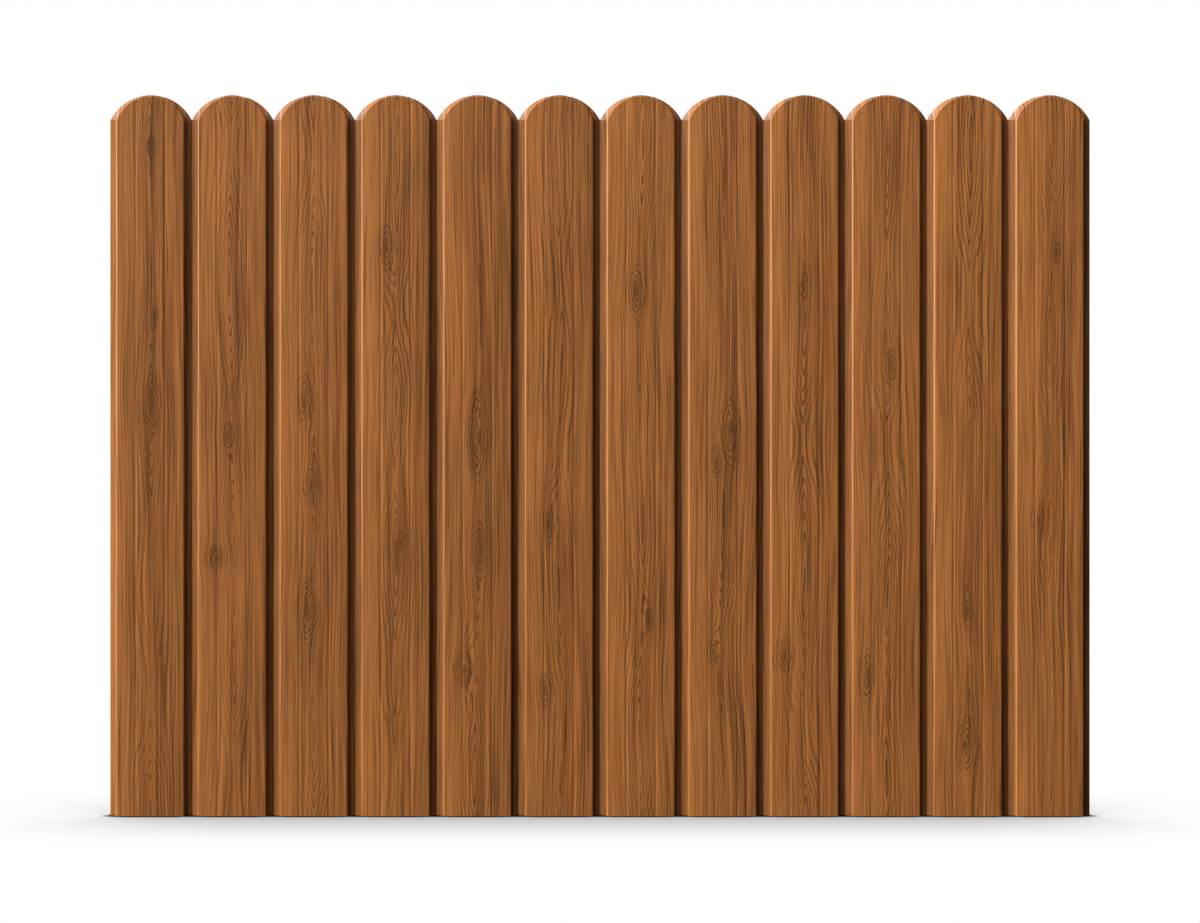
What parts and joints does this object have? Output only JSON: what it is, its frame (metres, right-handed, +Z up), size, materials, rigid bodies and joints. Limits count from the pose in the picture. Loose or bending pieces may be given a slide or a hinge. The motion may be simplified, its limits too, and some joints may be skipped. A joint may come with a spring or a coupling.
{
  "type": "metal fence panel",
  "caption": "Fence panel of side-by-side round-topped steel pickets with a wood-look printed coat, screwed from behind to horizontal tube rails.",
  "frame": {"origin": "on the ground, midway along the panel and midway through its depth", "axes": "+X along the fence to the right as seen from the front, +Y to the rear, +Z up"},
  "size_m": [1.5, 0.035, 1.103],
  "materials": {
    "picket_coat": "walnut wood-grain print under a satin clear coat",
    "rail_paint": "satin brown powder coat",
    "cap_plastic": "matt black polyethylene",
    "insert_zinc": "yellow zinc plate"
  },
  "bodies": {
    "root": {"picket_01": "picket_coat", "picket_02": "picket_coat", "picket_03": "picket_coat", "picket_04": "picket_coat", "picket_05": "picket_coat", "picket_06": "picket_coat", "picket_07": "picket_coat", "picket_08": "picket_coat", "picket_09": "picket_coat", "picket_10": "picket_coat", "picket_11": "picket_coat", "picket_12": "picket_coat", "lower_rail": "rail_paint", "lower_left_cap": "cap_plastic", "lower_right_cap": "cap_plastic", "upper_rail": "rail_paint", "upper_left_cap": "cap_plastic", "upper_right_cap": "cap_plastic", "post_inserts": "insert_zinc"}
  },
  "joints": []
}
